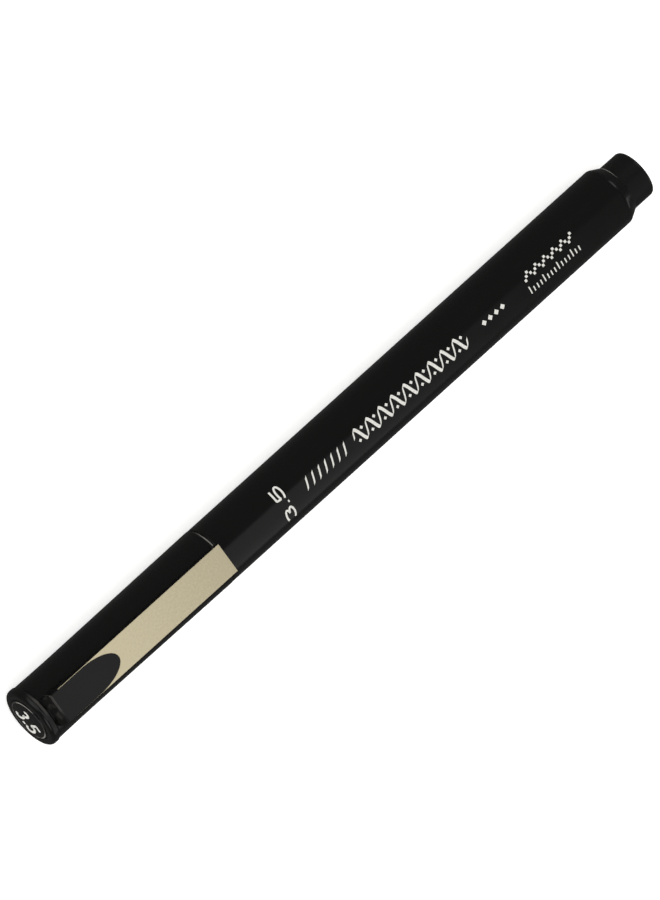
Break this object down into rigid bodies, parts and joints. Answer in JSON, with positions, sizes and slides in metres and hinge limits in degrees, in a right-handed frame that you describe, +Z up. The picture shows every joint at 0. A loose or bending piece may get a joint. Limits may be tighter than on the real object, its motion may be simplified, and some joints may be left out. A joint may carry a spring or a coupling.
{
  "type": "calligraphy marker",
  "caption": "Broad-edge calligraphy marker with a round barrel, pull-off cap, pocket clip with a metal strip, chisel felt nib, fibre ink reservoir and a tail stub.",
  "frame": {"origin": "bottom centre of the capped marker's box as it lies flat, clip upwards, below the middle of its length", "axes": "+X along the marker from the cap to the tail, +Z up, out through the clip's face, +Y across it"},
  "size_m": [0.14, 0.011, 0.0127],
  "materials": {
    "barrel": "glossy black moulded polypropylene",
    "nib_holder": "satin black moulded plastic with fine grooves",
    "nib": "bonded acrylic felt soaked with black ink",
    "reservoir_core": "bundled polyester fibre full of black ink",
    "reservoir_film": "thin clear film",
    "tail_plug": "satin black moulded plastic",
    "cap_tube": "glossy black moulded polypropylene",
    "cap_crown": "glossy black moulded plastic",
    "size_disc": "glossy black with a white size number",
    "inner_cap": "natural translucent polyethylene",
    "clip": "glossy black moulded plastic",
    "clip_strip": "satin champagne anodised foil"
  },
  "bodies": {
    "body": {"barrel": "barrel", "nib_holder": "nib_holder", "nib": "nib", "reservoir_core": "reservoir_core", "reservoir_film": "reservoir_film", "tail_plug": "tail_plug"},
    "cap": {"cap_tube": "cap_tube", "cap_crown": "cap_crown", "size_disc": "size_disc", "inner_cap": "inner_cap"},
    "clip": {"clip": "clip", "clip_strip": "clip_strip"}
  },
  "joints": [
    {"name": "cap_pull", "type": "slide", "parent": "body", "child": "cap", "axis": [-1, 0, 0], "range_m": [0, 0.05]},
    {"name": "clip_flex", "type": "hinge", "parent": "cap", "child": "clip", "pos_m": [-0.0676, 0, 0.01095], "axis": [0, -1, 0], "range_deg": [0, 3], "stiffness_Nm_per_rad": 2}
  ]
}
